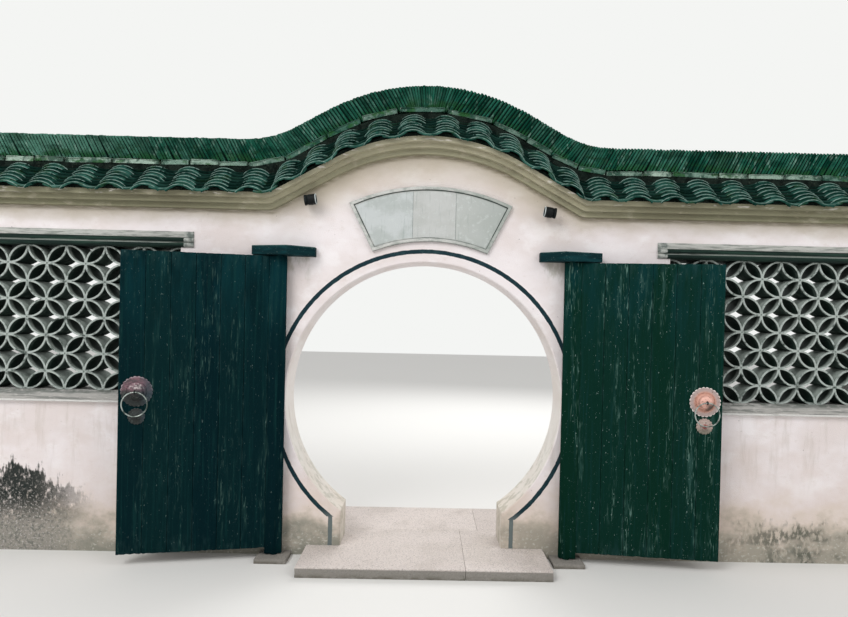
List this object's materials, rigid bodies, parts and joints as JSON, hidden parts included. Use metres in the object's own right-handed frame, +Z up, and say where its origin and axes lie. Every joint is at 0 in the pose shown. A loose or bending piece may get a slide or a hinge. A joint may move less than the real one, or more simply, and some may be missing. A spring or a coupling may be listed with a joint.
{
  "type": "moon gate",
  "caption": "Tiled garden wall with a round moon gate, tile lattice windows, a fan-shaped plaque and two plank leaves hung on pivots, each with a ring knocker.",
  "frame": {"origin": "on the ground under the middle of the round opening, at half the thickness of the wall", "axes": "+X along the wall to the right seen from the side that the plaque faces, +Y through the wall away from that side, +Z up"},
  "size_m": [6.995, 1.389, 3.3998],
  "materials": {
    "lime_plaster": "matte, weathered",
    "bedding_mortar": "rough",
    "roof_tile": "matte, mossy",
    "ridge_slab": "matte, mossy",
    "lattice_tile": "matte",
    "lintel_paint": "painted",
    "sill_render": "rough",
    "plaque_border": "honed",
    "plaque_stone": "honed",
    "landing_granite": "tooled",
    "pivot_granite": "tooled",
    "bracket_paint": "painted, worn",
    "leaf_paint": "painted, worn",
    "left_knocker_metal": "tarnished",
    "right_knocker_metal": "worn",
    "ring_steel": "worn",
    "lamp_black": "satin"
  },
  "bodies": {
    "wall": {"left_jamb_wall": "lime_plaster", "right_jamb_wall": "lime_plaster", "arch_head_wall": "lime_plaster", "left_dado_wall": "lime_plaster", "right_dado_wall": "lime_plaster", "left_window_head_wall": "lime_plaster", "right_window_head_wall": "lime_plaster", "left_end_pier": "lime_plaster", "right_end_pier": "lime_plaster", "left_wing_cornice": "lime_plaster", "arch_cornice": "lime_plaster", "right_wing_cornice": "lime_plaster", "left_wing_roof_bed": "bedding_mortar", "arch_roof_bed": "bedding_mortar", "right_wing_roof_bed": "bedding_mortar", "front_tile_rows": "roof_tile", "back_tile_rows": "roof_tile", "ridge": "roof_tile", "ridge_slab_course": "ridge_slab", "left_window_lattice": "lattice_tile", "right_window_lattice": "lattice_tile", "left_window_lintel": "lintel_paint", "right_window_lintel": "lintel_paint", "left_window_sill": "sill_render", "right_window_sill": "sill_render", "plaque_frame": "plaque_border", "plaque_slabs": "plaque_stone", "front_landing_slabs": "landing_granite", "back_landing_slabs": "landing_granite", "left_pivot_stone": "pivot_granite", "right_pivot_stone": "pivot_granite", "left_top_bracket": "bracket_paint", "right_top_bracket": "bracket_paint", "left_spotlight": "lamp_black", "right_spotlight": "lamp_black"},
    "left_leaf": {"left_pivot_stile": "leaf_paint", "left_leaf_boards": "leaf_paint", "left_leaf_ledges": "leaf_paint", "left_knocker_plates": "left_knocker_metal"},
    "left_ring": {"left_knocker_ring": "ring_steel"},
    "right_leaf": {"right_pivot_stile": "leaf_paint", "right_leaf_boards": "leaf_paint", "right_leaf_ledges": "leaf_paint", "right_knocker_plates": "right_knocker_metal"},
    "right_ring": {"right_knocker_ring": "ring_steel"}
  },
  "joints": [
    {"name": "left_door_hinge", "type": "hinge", "parent": "wall", "child": "left_leaf", "pos_m": [-1.03, -0.22, 0.05], "axis": [0, 0, 1], "range_deg": [-6.25, 168.75]},
    {"name": "left_ring_hinge", "type": "hinge", "parent": "left_leaf", "child": "left_ring", "pos_m": [-1.90603, -0.48041, 1.175], "axis": [-0.9808, -0.1951, 0], "range_deg": [0, 110]},
    {"name": "right_door_hinge", "type": "hinge", "parent": "wall", "child": "right_leaf", "pos_m": [1.03, -0.22, 0.05], "axis": [0, 0, -1], "range_deg": [-2.5, 172.5]},
    {"name": "right_ring_hinge", "type": "hinge", "parent": "right_leaf", "child": "right_ring", "pos_m": [1.92118, -0.42256, 1.175], "axis": [-0.9914, 0.1305, 0], "range_deg": [0, 110]}
  ]
}
